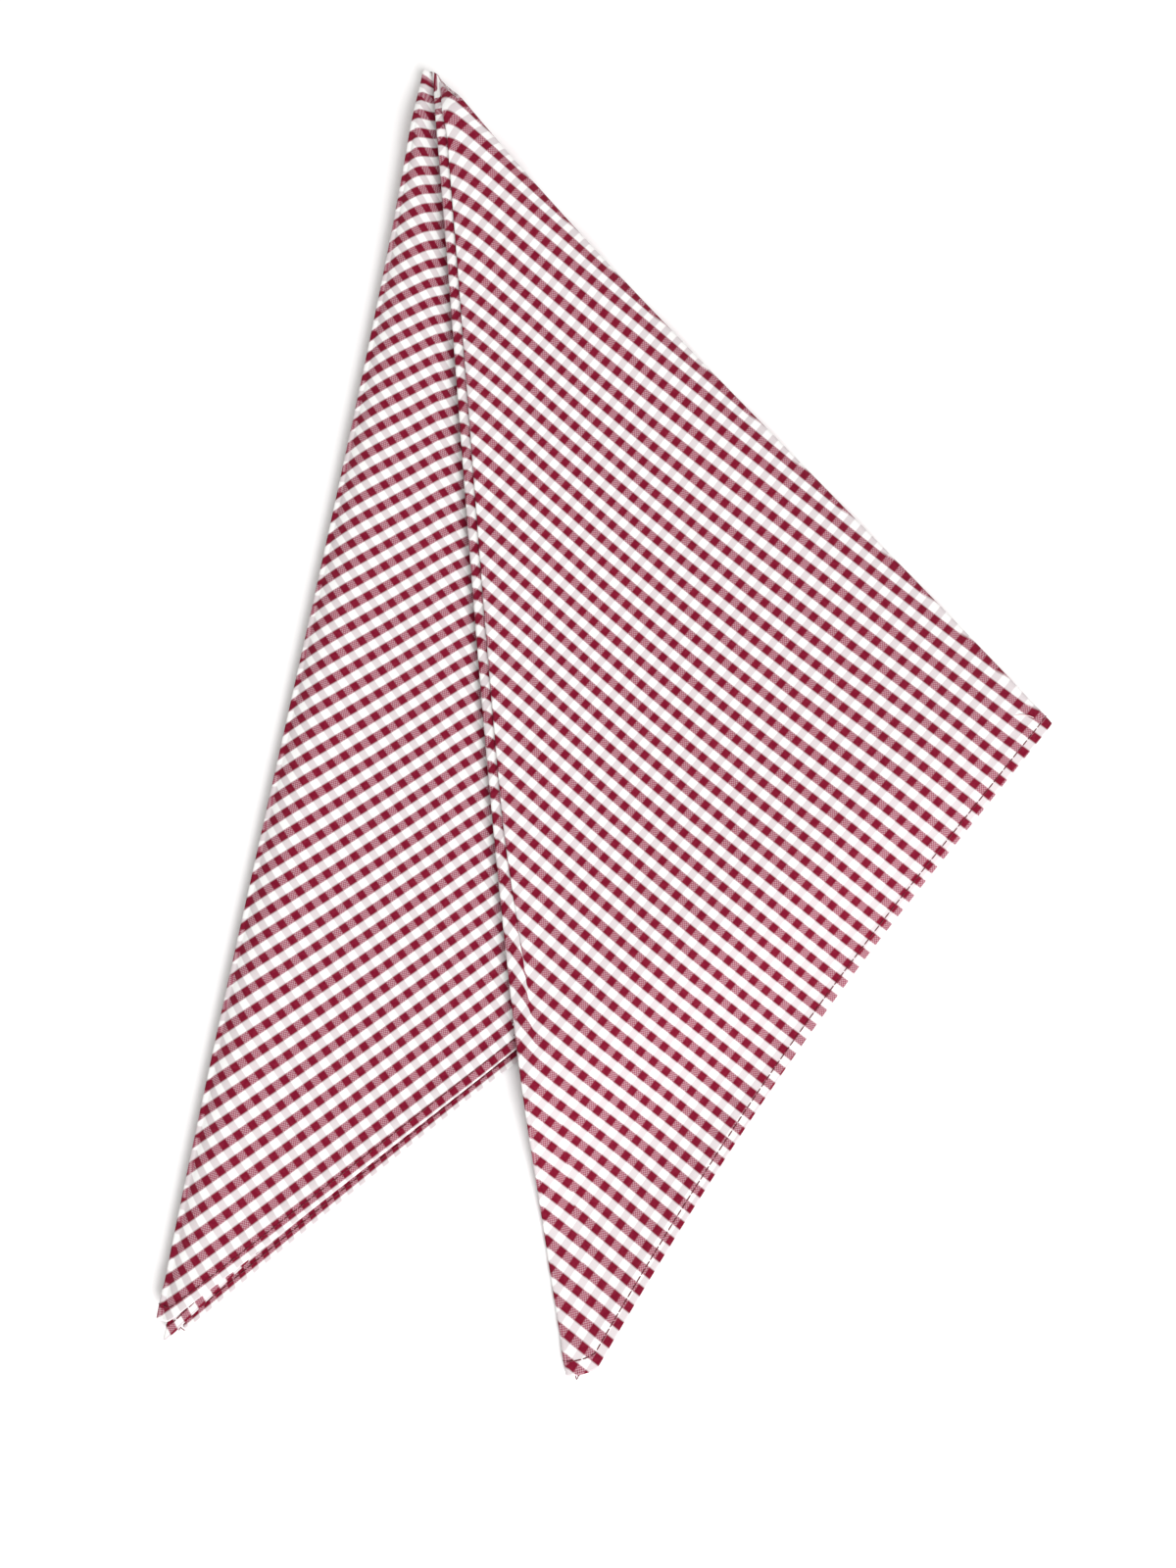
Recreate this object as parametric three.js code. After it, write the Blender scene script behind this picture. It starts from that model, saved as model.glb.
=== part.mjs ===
// A square cotton bandana that was picked up by its middle and laid down flat, in millimetres, +Z up.
// The cloth lies on z = 0 with its gathered tip at +Y. Every fold runs from that tip to the hem, so
// the one sheet makes eight layers, back and forth, and the last fold wraps round the right-hand side.

import * as THREE from 'three';

// The flat sheet and the stack
const SIDE = 558.8;
const CLOTH = 1.0;
const PITCH = 1.6;
const TIP_Y = 402.4;
const TIP_SLOPE = -0.14;
const TIP_CROWN = 0.3;
const TIP_CROWN_END = 0.1;

// One row for each fold, in the order in which they meet the rim of the sheet. Rows take turns: the
// even ones lie on the right, the odd ones on the left.
// angle: its direction in the flat sheet, from the middle, in degrees
// tipX: where it starts, on the line across the gathered tip
// lies: its direction as it lies, in degrees from +X
// reach: its length as it lies, as a share of its length in the flat sheet
// bow, skew: how far it bulges to its left halfway, and how much more of that lies near the tip
// round: how far in from the fold its bend begins
const FOLDS = [
  { name: 'wrap', angle: 8.7, tipX: -53.0, lies: -48.94, reach: 0.995, bow: -2.8, skew: -4.2, round: 2.2 },
  { name: 'rightLeg', angle: 45, tipX: -58.6, lies: -83.11, reach: 1.025, bow: -4.2, skew: 4.4, round: 1.1 },
  { name: 'topInner', angle: 83.2, tipX: -56.2, lies: -49.48, reach: 0.934, bow: -2.8, skew: -4, round: 0.8 },
  { name: 'leftLeg', angle: 135, tipX: -63.6, lies: -99.91, reach: 1.006, bow: 1.6, skew: 4, round: 0.8 },
  { name: 'midInner', angle: 181, tipX: -56.6, lies: -56.0, reach: 0.951, bow: -2, skew: -1.5, round: 0.8 },
  { name: 'midLeg', angle: 225, tipX: -62.9, lies: -99.31, reach: 1.012, bow: 4.5, skew: 1.5, round: 0.8 },
  { name: 'lowInner', angle: 268, tipX: -57.0, lies: -58.6, reach: 0.968, bow: -1, skew: -1.5, round: 0.8 },
  { name: 'lowLeg', angle: 315, tipX: -62.2, lies: -98.93, reach: 1.007, bow: 7.5, skew: 1, round: 0.8 },
];

// One row for each layer, from the top down: layer k lies between fold k and fold k + 1.
// columns: its steps from fold to fold
// pull: how far the middle of its hem is drawn in towards the tip
const LAYERS = [
  { name: 'rightPanel', columns: 12, pull: 5.3 },
  { name: 'rightBack', columns: 12, pull: 3.0 },
  { name: 'leftPanel', columns: 10, pull: 3.0 },
  { name: 'leftBack', columns: 10, pull: 2.4 },
  { name: 'middleFront', columns: 7, pull: 1.2 },
  { name: 'middleBack', columns: 7, pull: 1.8 },
  { name: 'lowFront', columns: 7, pull: 2.6 },
  { name: 'lowBack', columns: 8, pull: 12 },
];

// How a layer comes down beside the edge of one that lies under it
const EDGE_COVER = 1.0;
const DROP_LEFT = 30;
const DROP_RIGHT = 45;
const DROP_HEM = 52;

// The narrow step beside the right panel's long fold
const STEP_WIDTH = 3.3;
const STEP_RUN = 1.2;
const STEP_HEIGHT = 0.9;
const STEP_REACH = 60;
const STEP_STARTS = 0.07;
const STEP_FADES = [0.58, 0.78];

// Rings of the sheet, from the tip (0) to the hem (1)
const RINGS = [0, 0.006, 0.03, 0.07, 0.115, 0.17, 0.235, 0.305, 0.375, 0.445, 0.51, 0.57, 0.625,
  0.675, 0.72, 0.76, 0.797, 0.832, 0.866, 0.9, 0.934, 0.967, 1];
const BEND_STEPS = 4;
const CROWDING = 0.45;

const clamp01 = (x) => Math.min(1, Math.max(0, x));
const smooth = (x) => clamp01(x) ** 2 * (3 - 2 * clamp01(x));
const bulge = (t, bow, skew) => 4 * t * (1 - t) * (bow + skew * (1 - 2 * t));
const radians = THREE.MathUtils.degToRad;
const tipPoint = (fold) => new THREE.Vector2(fold.tipX, TIP_Y + TIP_SLOPE * (fold.tipX - FOLDS[0].tipX));
const foldAt = (k) => FOLDS[k % FOLDS.length];

/** The length of a fold in the flat sheet, from its middle to its rim. */
function flatLength(fold) {
  const angle = radians(fold.angle);
  return SIDE / 2 / Math.max(Math.abs(Math.cos(angle)), Math.abs(Math.sin(angle)));
}

/** The plan line of a fold: its start, end, length, direction and left normal. */
function axisOf(fold) {
  const start = tipPoint(fold);
  const heading = radians(fold.lies);
  const along = new THREE.Vector2(Math.cos(heading), Math.sin(heading));
  const length = fold.reach * flatLength(fold);
  const end = start.clone().addScaledVector(along, length);
  return { start, end, length, along, left: new THREE.Vector2(-along.y, along.x) };
}

/** The point of a fold at t, from 0 at the tip to 1 at the hem. */
function foldPoint(fold, t) {
  const { start, end, left } = axisOf(fold);
  return start.lerp(end, t).addScaledVector(left, bulge(t, fold.bow, fold.skew));
}

/** How far a plan point lies to the left of a fold. */
function leftOf(fold, point) {
  const { start, length, along, left } = axisOf(fold);
  const from = point.clone().sub(start);
  return from.dot(left) - bulge(clamp01(from.dot(along) / length), fold.bow, fold.skew);
}

/** The hem of a layer: its ends, its direction and the way from it to the tip. */
function hemOf(k) {
  const { start: tip, end: start } = axisOf(foldAt(k));
  const along = axisOf(foldAt(k + 1)).end.sub(start);
  const length = along.length();
  along.normalize();
  const inward = new THREE.Vector2(-along.y, along.x);
  if (inward.dot(tip.sub(start)) < 0) inward.negate();
  return { start, length, along, inward };
}

/** How far a plan point lies inside the hem of a layer. */
function insideHem(k, point) {
  const { start, length, along, inward } = hemOf(k);
  const from = point.clone().sub(start);
  return from.dot(inward) - bulge(clamp01(from.dot(along) / length), LAYERS[k].pull, 0);
}

/** The share of its thickness that a layer adds under a plan point: 1 on it, less beside it. */
function cover(k, point) {
  const leftFold = k % 2 === 0 ? foldAt(k + 1) : foldAt(k);
  const rightFold = k % 2 === 0 ? foldAt(k) : foldAt(k + 1);
  const share = (inside, drop) => smooth(1 + (inside + EDGE_COVER) / drop);
  return share(leftOf(leftFold, point), DROP_LEFT)
    * share(-leftOf(rightFold, point), DROP_RIGHT)
    * share(insideHem(k, point), DROP_HEM);
}

/** The extra height of the top layer inside the step beside its long fold. */
function stepHeight(point, t) {
  const inside = leftOf(FOLDS[1], point);
  const fade = smooth(t / STEP_STARTS) * (1 - smooth((t - STEP_FADES[0]) / (STEP_FADES[1] - STEP_FADES[0])));
  return STEP_HEIGHT * fade * smooth((inside - STEP_WIDTH) / STEP_RUN) * (1 - smooth(inside / STEP_REACH));
}

/** The height of the middle of layer k at a plan point. */
function height(k, point, t) {
  let z = CLOTH / 2;
  for (let below = k + 1; below < LAYERS.length; below += 1) z += PITCH * cover(below, point);
  return k === 0 ? z + stepHeight(point, t) : z;
}

/** The slight crown of every layer at the gathered tip, gone a little way down. */
function tipCrown(t, s) {
  return TIP_CROWN * (1 - smooth(t / TIP_CROWN_END)) * Math.sin(Math.PI * s);
}

/** The middle of layer k at ring t, a share s of the way from fold k to fold k + 1. */
function layerPoint(k, t, s) {
  const plan = foldPoint(foldAt(k), t).lerp(foldPoint(foldAt(k + 1), t), s);
  plan.addScaledVector(hemOf(k).inward, bulge(s, LAYERS[k].pull, 0) * t * t);
  return new THREE.Vector3(plan.x, plan.y, height(k, plan, t) + tipCrown(t, s));
}

/** The shares of layer k at ring t where its two bends begin. */
function flatSpan(k, t) {
  const [from, to] = [foldAt(k), foldAt(k + 1)];
  const inset = (fold, other) => Math.min(fold.round / Math.abs(leftOf(fold, foldPoint(other, t))), 0.36);
  return [inset(from, to), 1 - inset(to, from)];
}

/** The shares of the columns of layer k at ring t, closer together near its folds. */
function columnShares(k, t) {
  const [from, to] = flatSpan(k, t);
  const { columns } = LAYERS[k];
  const shares = [];
  for (let i = 0; i <= columns; i += 1) {
    const even = i / columns;
    shares.push(from + (to - from) * (even - CROWDING * Math.sin(2 * Math.PI * even) / (2 * Math.PI)));
  }
  if (k > 0) return shares;
  // The top layer has two more columns, at the foot and at the top of the step.
  const width = foldPoint(foldAt(0), t).distanceTo(foldPoint(foldAt(1), t));
  const last = shares.pop();
  const kept = shares.slice(0, -1);
  const foot = Math.max(1 - STEP_WIDTH / width, 0.5 + 0.3 * last);
  const top = Math.max(1 - (STEP_WIDTH + STEP_RUN) / width, 0.35 + 0.3 * last);
  return [...kept.map((share) => share * Math.min(1, (top - 0.04) / kept.at(-1))), top, foot, last];
}

/** The points of the bend at the start of layer k, between its neighbour's last point and its first. */
function bendPoints(k, t) {
  const before = (k + LAYERS.length - 1) % LAYERS.length;
  const above = layerPoint(before, t, flatSpan(before, t)[1]);
  const below = layerPoint(k, t, flatSpan(k, t)[0]);
  const fold = foldPoint(foldAt(k), t);
  const points = [];
  for (let i = 1; i < BEND_STEPS; i += 1) {
    const turn = Math.PI * i / BEND_STEPS;
    const share = (1 - Math.cos(turn)) / 2;
    const point = above.clone().lerp(below, share);
    const reach = Math.sin(turn);
    point.x += (fold.x - point.x) * reach;
    point.y += (fold.y - point.y) * reach;
    points.push(point);
  }
  return points;
}

/** The middle of the whole cloth on one ring, once round from the wrap, and where it bends. */
function ringPoints(t) {
  return LAYERS.flatMap((layer, k) => [
    ...bendPoints(k, t).map((point) => ({ point, bends: true })),
    ...columnShares(k, t).map((s) => ({ point: layerPoint(k, t, s), bends: false })),
  ]);
}

/** The closed sheet: two faces half a thickness either side of the middle, the hem's edge and the tip. */
function clothGeometry() {
  const rings = RINGS.map(ringPoints);
  const count = rings[0].length;
  const last = rings.length - 1;
  const tipAcross = new THREE.Vector2(1, TIP_SLOPE).normalize();
  const tipAxis = new THREE.Vector3(-TIP_SLOPE, 1, 0).normalize();
  const face = (ring, i, side) => {
    const here = rings[ring][i];
    const next = rings[ring][(i + 1) % count];
    const previous = rings[ring][(i + count - 1) % count];
    // Where a layer ends in a bend, its face still looks the way the flat part does.
    const after = !here.bends && next.bends ? here : next;
    const before = !here.bends && previous.bends ? here : previous;
    const across = after.point.clone().sub(before.point);
    const down = rings[Math.min(ring + 1, last)][i].point.clone().sub(rings[Math.max(ring - 1, 0)][i].point);
    const normal = across.cross(down);
    if (ring < 2) normal.addScaledVector(tipAxis, -normal.dot(tipAxis));
    return here.point.clone().addScaledVector(normal.normalize(), side * CLOTH / 2);
  };
  const vertices = [];
  const indexOf = new Map();
  const vertex = (ring, i, side) => {
    const key = `${ring},${i % count},${side}`;
    if (!indexOf.has(key)) {
      indexOf.set(key, vertices.length / 3);
      vertices.push(...face(ring, i % count, side).toArray());
    }
    return indexOf.get(key);
  };
  const triangles = [];
  const quad = (a, b, c, d) => triangles.push(a, b, c, a, c, d);
  const OUTER = 1;
  const INNER = -1;
  for (let i = 0; i < count; i += 1) {
    for (let ring = 0; ring < last; ring += 1) {
      quad(vertex(ring, i, OUTER), vertex(ring, i + 1, OUTER),
        vertex(ring + 1, i + 1, OUTER), vertex(ring + 1, i, OUTER));
      if (ring > 0) {
        quad(vertex(ring, i, INNER), vertex(ring + 1, i, INNER),
          vertex(ring + 1, i + 1, INNER), vertex(ring, i + 1, INNER));
      }
    }
    quad(vertex(last, i, OUTER), vertex(last, i + 1, OUTER),
      vertex(last, i + 1, INNER), vertex(last, i, INNER));
  }
  // The tip is closed by the cut face of the gathered cloth, outside and inside.
  const closeTip = (ring, side) => {
    const outline = Array.from({ length: count }, (_, i) => {
      const point = face(ring, i, side);
      return new THREE.Vector2(point.x * tipAcross.x + point.y * tipAcross.y, point.z);
    });
    THREE.ShapeUtils.triangulateShape(outline, []).forEach(([a, b, c]) => {
      const corners = [a, b, c].map((i) => vertex(ring, i, side));
      triangles.push(...(side === OUTER ? corners.reverse() : corners));
    });
  };
  closeTip(0, OUTER);
  closeTip(1, INNER);
  const geometry = new THREE.BufferGeometry();
  geometry.setAttribute('position', new THREE.Float32BufferAttribute(vertices, 3));
  geometry.setIndex(triangles);
  geometry.computeVertexNormals();
  geometry.computeBoundingBox();
  return geometry;
}

const gingham = new THREE.MeshStandardMaterial({ color: 0xc08a9b, roughness: 0.9, metalness: 0 });
const cloth = new THREE.Mesh(clothGeometry(), gingham);
cloth.name = 'bandana';

// The origin is under the middle of the folded cloth.
const middle = cloth.geometry.boundingBox.getCenter(new THREE.Vector3());
cloth.position.set(-middle.x, -middle.y, 0);

const part = new THREE.Group();
part.add(cloth);

export default part;
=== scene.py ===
"""A folded gingham bandana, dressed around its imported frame.

The cloth repeats the fold map of the part: every fold runs from the gathered tip at +Y to the hem, and
the one square sheet lies in eight layers, back and forth. Plan sizes are in millimetres, as the part's
are, and become metres when a mesh is made.
"""

import logging
import math
from dataclasses import dataclass, field
from enum import Enum
from typing import Any, Sequence

import bpy
import numpy as np
from mathutils import Matrix, Vector


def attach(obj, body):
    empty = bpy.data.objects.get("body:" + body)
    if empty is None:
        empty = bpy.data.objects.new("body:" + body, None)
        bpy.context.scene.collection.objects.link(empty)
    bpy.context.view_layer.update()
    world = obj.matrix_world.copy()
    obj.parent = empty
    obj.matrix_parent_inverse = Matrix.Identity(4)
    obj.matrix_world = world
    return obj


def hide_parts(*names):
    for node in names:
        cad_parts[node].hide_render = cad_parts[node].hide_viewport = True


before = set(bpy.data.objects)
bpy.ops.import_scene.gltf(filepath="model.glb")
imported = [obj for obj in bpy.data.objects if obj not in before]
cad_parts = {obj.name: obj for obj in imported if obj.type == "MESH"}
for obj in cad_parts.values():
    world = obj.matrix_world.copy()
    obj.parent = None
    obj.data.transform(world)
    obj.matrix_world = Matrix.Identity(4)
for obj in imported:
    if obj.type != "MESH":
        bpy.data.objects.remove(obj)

LOG = logging.getLogger("bandana")
MM = 0.001
NODE = "bandana"
BODY = "root"
ROUNDNESS = 0.98  # How nearly a shoulder ends upright, from 0 to 1.
TINY = 1e-9
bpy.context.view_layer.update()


def smooth(x: np.ndarray) -> np.ndarray:
    """Returns a soft step from 0 to 1 while x goes from 0 to 1."""
    x = np.clip(x, 0.0, 1.0)
    return x * x * (3.0 - 2.0 * x)


def bulge(t: np.ndarray, bow: float, skew: float) -> np.ndarray:
    """Returns how far a line bulges at a share t of its length.

    Args:
        t: The share of the length, from 0 to 1.
        bow: The bulge halfway.
        skew: How much more of it lies near the start.
    """
    return 4.0 * t * (1.0 - t) * (bow + skew * (1.0 - 2.0 * t))


def mix(a: np.ndarray, b: np.ndarray, share: np.ndarray) -> np.ndarray:
    """Returns the value that lies a share of the way from a to b."""
    return a + (b - a) * share


def rounded(out: np.ndarray) -> np.ndarray:
    """Returns how far a round shoulder has dropped, from 0 at its top to nearly 1 at its foot."""
    return 1 - np.sqrt(1 - ROUNDNESS * out**2)


def bernstein(x: np.ndarray) -> np.ndarray:
    """Returns the four weights of a cubic Bezier curve at x."""
    return np.stack([(1 - x) ** 3, 3 * x * (1 - x) ** 2, 3 * x * x * (1 - x), x**3], axis=-1)


def placed(name: str, data: bpy.types.ID) -> bpy.types.Object:
    """Returns a new object that shows data, linked to the scene."""
    thing = bpy.data.objects.new(name, data)
    bpy.context.scene.collection.objects.link(thing)
    return thing


def shade_smooth(mesh: bpy.types.Mesh) -> None:
    """Makes all faces of a mesh smooth."""
    mesh.polygons.foreach_set("use_smooth", [True] * len(mesh.polygons))


class Side(Enum):
    """A face of the cloth."""

    OUTER = 1.0
    INNER = -1.0


@dataclass(frozen=True)
class Fold:
    """One fold of the sheet, from the gathered tip to the hem.

    Attributes:
        angle: Its direction in the flat sheet, from the middle, in degrees.
        tip_x: Where it starts, on the line across the gathered tip.
        heading: Its direction as it lies, in degrees from +X.
        reach: Its length as it lies, as a share of its length in the flat sheet.
        bow: How far it bulges to its left halfway.
        skew: How much more of that bulge lies near the tip.
        round: How far in from the fold its bend begins.
        blunt: How far its corner of the hem is turned in, along the fold.
        tip_count: The stripes counted to the tip, across and along the sheet.
        hem_count: The stripes counted to its end at the hem.
    """

    angle: float
    tip_x: float
    heading: float
    reach: float
    bow: float
    skew: float
    round: float
    blunt: float
    tip_count: tuple[float, float]
    hem_count: tuple[float, float]


@dataclass(frozen=True)
class Layer:
    """One layer between two folds.

    Attributes:
        columns: Its steps from fold to fold.
        pull: How far the middle of its hem is drawn in towards the tip.
    """

    columns: int
    pull: float


@dataclass(frozen=True)
class Trough:
    """A soft crease that runs over the stack, between two plan points.

    Attributes:
        start: One end, in millimetres from the middle of the folded cloth.
        end: The other end.
        width: Its width at half its depth.
        depth: How deep it is, or how high where it is negative.
    """

    start: tuple[float, float]
    end: tuple[float, float]
    width: float
    depth: float


# The folds and layers that show, by their number: the wrap round the right-hand edge, the right
# panel's long fold, the left edge, and the right panel, the cloth back under it and the left panel.
WRAP_FOLD, LONG_FOLD, LEFT_FOLD = 0, 1, 3
TOP_LAYER, STEP_LAYER, LEFT_LAYER = 0, 1, 2

# The counts at the middle of the sheet, on the right panel, on the left panel and elsewhere.
RIGHT_TIP = (12.54, 22.72)
LEFT_TIP = (13.94, 22.30)
TRUE_TIP = (13.24, 22.50)

FOLDS = (
    Fold(8.7, -54.6, -47.95, 0.9923, -1.7, -2.5, 2.2, 0.0, RIGHT_TIP, (5.05, 79.33)),
    Fold(45, -56.6, -83.60, 1.0428, -4.5, 3.3, 1.1, 9.4, RIGHT_TIP, (-38.45, 79.33)),
    Fold(83.2, -56.2, -49.02, 0.9254, -1.6, -3.0, 0.8, 0.0, LEFT_TIP, (-38.38, 29.4)),
    Fold(135, -60.0, -100.40, 1.0039, 0.7, 2.4, 1.6, 4.0, LEFT_TIP, (-38.56, -36.94)),
    Fold(181, -56.4, -55.66, 0.9414, -1.1, -0.8, 0.8, 0.0, TRUE_TIP, (14.1, -36.9)),
    Fold(225, -59.6, -100.08, 1.0113, 4.0, 0.2, 0.8, 1.2, TRUE_TIP, (64.9, -36.9)),
    Fold(268, -56.6, -58.34, 0.9580, -0.3, -1.0, 0.8, 0.0, TRUE_TIP, (64.53, 19.2)),
    Fold(315, -59.2, -99.54, 1.0036, 7.0, -0.4, 0.8, 2.0, TRUE_TIP, (64.53, 79.4)),
)

LAYERS = (
    Layer(46, 6.2),
    Layer(22, 3.0),
    Layer(44, 0.3),
    Layer(18, 2.4),
    Layer(16, 8.0),
    Layer(16, 9.0),
    Layer(18, 2.6),
    Layer(20, 12.0),
)

TROUGHS = (
    Trough((-30.0, 120.0), (70.0, 10.0), 22.0, 0.45),
    Trough((-10.0, 20.0), (40.0, -60.0), 26.0, 0.40),
    Trough((-85.0, 60.0), (-100.0, -60.0), 16.0, 0.35),
)


@dataclass(frozen=True)
class Drift:
    """How far the stripes of a layer run from an even spread, as a net of Bezier values.

    Attributes:
        across: The counts across the sheet: a row for each place from the tip to the hem.
        along: The counts along the sheet.
    """

    across: tuple[tuple[float, ...], ...]
    along: tuple[tuple[float, ...], ...]

    def at(self, t: np.ndarray, s: np.ndarray) -> np.ndarray:
        """Returns the drift of both counts at ring t and share s."""
        net = np.stack([np.array(self.across), np.array(self.along)], axis=-1)
        return np.einsum("...i,...j,ijc->...c", bernstein(t), bernstein(np.clip(s, 0, 1)), net)


DRIFTS = {
    TOP_LAYER: Drift(
        (
            (1.33, 0.91, 1.29, 2.42),
            (0.81, 1.70, 1.50, 0.81),
            (2.14, 2.88, 0.20, -1.54),
            (1.13, 1.80, -1.00, -0.24),
        ),
        (
            (-1.24, -0.26, -0.21, -1.58),
            (-0.67, -2.39, -2.82, -2.43),
            (1.04, -0.39, 0.41, 2.02),
            (-0.10, 0.32, 0.65, 1.00),
        ),
    ),
    LEFT_LAYER: Drift(
        (
            (0.00, -0.19, -0.47, -0.48),
            (1.19, 0.67, -0.28, -1.12),
            (1.26, 1.81, 0.88, -1.60),
            (-0.71, 0.51, 0.18, -0.14),
        ),
        (
            (0.03, 0.18, 0.39, 0.38),
            (0.83, 0.86, 0.64, 0.16),
            (0.93, -0.02, -0.91, -0.39),
            (0.59, -0.72, -1.14, 0.65),
        ),
    ),
}


# The rings near the tip as shares of a fold's length, those near the hem as distances from the
# rim, and the share between the last two sorts.
TIP_RINGS = (0, 0.003, 0.007, 0.012, 0.018, 0.026, 0.036, 0.048)
HEM_RINGS = (9, 7.4, 6.5, 5.6, 4.6, 3.8, 3.2, 2.6, 1.8, 1.0, 0.4, 0)
HEM_GAP = 0.008


@dataclass
class Pleat:
    """The narrow step beside the right panel's long fold, where the panel overhangs itself.

    Attributes:
        width: How much of the step shows.
        hidden: How far the panel reaches over it, and comes back under itself.
        height: How much higher the panel lies than the step.
        room: How far in from the fold the pleat begins.
        starts: The share of the fold's length over which it grows from the tip.
        fades: The shares between which it fades out.
        reach: How far from the fold its height is gone.
        turn: The radius of its two turns, seen from above.
        turn_steps: The steps in one turn.
        ends: How far from the fold it ends, where the fold's own bend begins.
        share: The most of the panel's width that its room takes, near the tip.
    """

    width: float = 3.3
    hidden: float = 2.9
    height: float = 1.5
    room: float = 10.0
    starts: float = 0.05
    fades: tuple[float, float] = (0.58, 0.78)
    reach: float = 60.0
    turn: float = 0.55
    turn_steps: int = 6
    ends: float = 1.2
    share: float = 0.8

    def scale(self, across: np.ndarray) -> np.ndarray:
        """Returns how much the pleat is narrowed where the panel is as wide as across."""
        return np.minimum(1.0, self.share * across / self.room)

    def strength(self, t: np.ndarray) -> np.ndarray:
        """Returns how much of the pleat is left at a share t of the fold."""
        start, end = self.fades
        return smooth(t / self.starts) * (1.0 - smooth((t - start) / (end - start)))

    def level(self, start: float, end: float, height: float, steps: int) -> list[tuple[float, float]]:
        """Returns a level stretch of the section, between two distances from the fold."""
        return [(mix(start, end, i / steps), height) for i in range(steps + 1)]

    def half_turn(self, edge: float, way: int, height: float) -> list[tuple[float, float]]:
        """Returns a half turn of the section, whose outermost point lies at edge.

        Args:
            edge: Its distance from the fold.
            way: 1 where the cloth lies farther from the fold than the turn, and -1 where it lies nearer.
            height: The share of the pleat's height halfway round it.
        """
        turns = [math.pi * i / self.turn_steps for i in range(1, self.turn_steps)]
        quarter = 0.25
        return [
            (edge + way * self.turn * (1 - math.sin(turn)), height + quarter * math.cos(turn))
            for turn in turns
        ]

    def profile(self) -> np.ndarray:
        """Returns the section from the panel to the fold: distance from the fold, height, cloth used."""
        edge, back = self.width, self.width + self.hidden
        top, upper, middle, lower, low = 1.0, 0.75, 0.5, 0.25, 0.0
        section = self.level(self.room, edge + self.turn, top, 6)
        section += self.half_turn(edge, 1, upper)
        section += self.level(edge + self.turn, back - self.turn, middle, 2)
        section += self.half_turn(back, -1, lower)
        section += self.level(back - self.turn, self.ends, low, 5)
        points = np.array(section)
        steps = np.hypot(np.diff(points[:, 0]), np.diff(points[:, 1]) * self.height)
        used = self.room - np.concatenate([[0.0], np.cumsum(steps)])
        return np.column_stack([points, used])


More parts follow.
